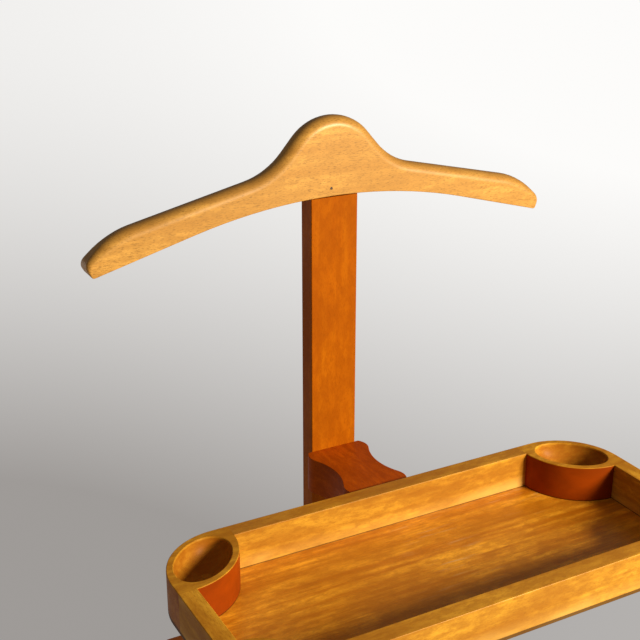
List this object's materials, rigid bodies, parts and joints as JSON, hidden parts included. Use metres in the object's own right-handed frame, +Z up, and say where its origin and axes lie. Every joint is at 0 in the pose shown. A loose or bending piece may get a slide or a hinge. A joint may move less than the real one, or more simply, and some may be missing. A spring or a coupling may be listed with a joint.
{
  "type": "valet stand",
  "caption": "Free-standing wooden valet: a coat hanger on a post, a tray with dished corner cups, a trouser rail and a shoe-rail base.",
  "frame": {"origin": "on the floor, at the middle of the stand's width and depth", "axes": "+Z up, +X to the right as seen from the front, -Y towards the front where the tray is"},
  "size_m": [0.4502, 0.386, 1.08],
  "materials": {
    "hanger_beech": "satin lacquered beech, light honey",
    "post_beech": "satin lacquered beech, amber",
    "bracket_beech": "satin lacquered beech, reddish amber",
    "tray_beech": "satin lacquered beech, honey",
    "corner_beech": "satin lacquered beech, amber",
    "floor_beech": "satin lacquered beech veneer, streaked, lightly scuffed",
    "base_beech": "satin lacquered beech, amber",
    "rod_beech": "satin lacquered turned beech",
    "dowel_beech": "raw beech",
    "brass": "satin, lightly tarnished",
    "steel": "dulled pin head",
    "glide_felt": "dense dark brown felt"
  },
  "bodies": {
    "root": {"hanger_board": "hanger_beech", "hanger_pin": "steel", "post": "post_beech", "tray_bracket": "bracket_beech", "bracket_screws": "brass", "tray_mount_dowels": "dowel_beech", "tray_rear_rail": "tray_beech", "tray_front_rail": "tray_beech", "tray_left_rail": "tray_beech", "tray_right_rail": "tray_beech", "left_cup_corner": "corner_beech", "right_cup_corner": "corner_beech", "left_front_corner": "corner_beech", "right_front_corner": "corner_beech", "tray_corner_dowels": "dowel_beech", "tray_floor": "floor_beech", "tray_floor_screws": "brass", "trouser_crosspiece": "base_beech", "crosspiece_screws": "brass", "left_trouser_arm": "base_beech", "right_trouser_arm": "base_beech", "trouser_arm_dowels": "dowel_beech", "trouser_bar": "rod_beech", "base_stretcher": "base_beech", "stretcher_dowels": "dowel_beech", "post_foot_screws": "brass", "left_runner": "base_beech", "right_runner": "base_beech", "rear_shoe_rail": "rod_beech", "front_shoe_rail": "rod_beech", "floor_glides": "glide_felt"}
  },
  "joints": []
}
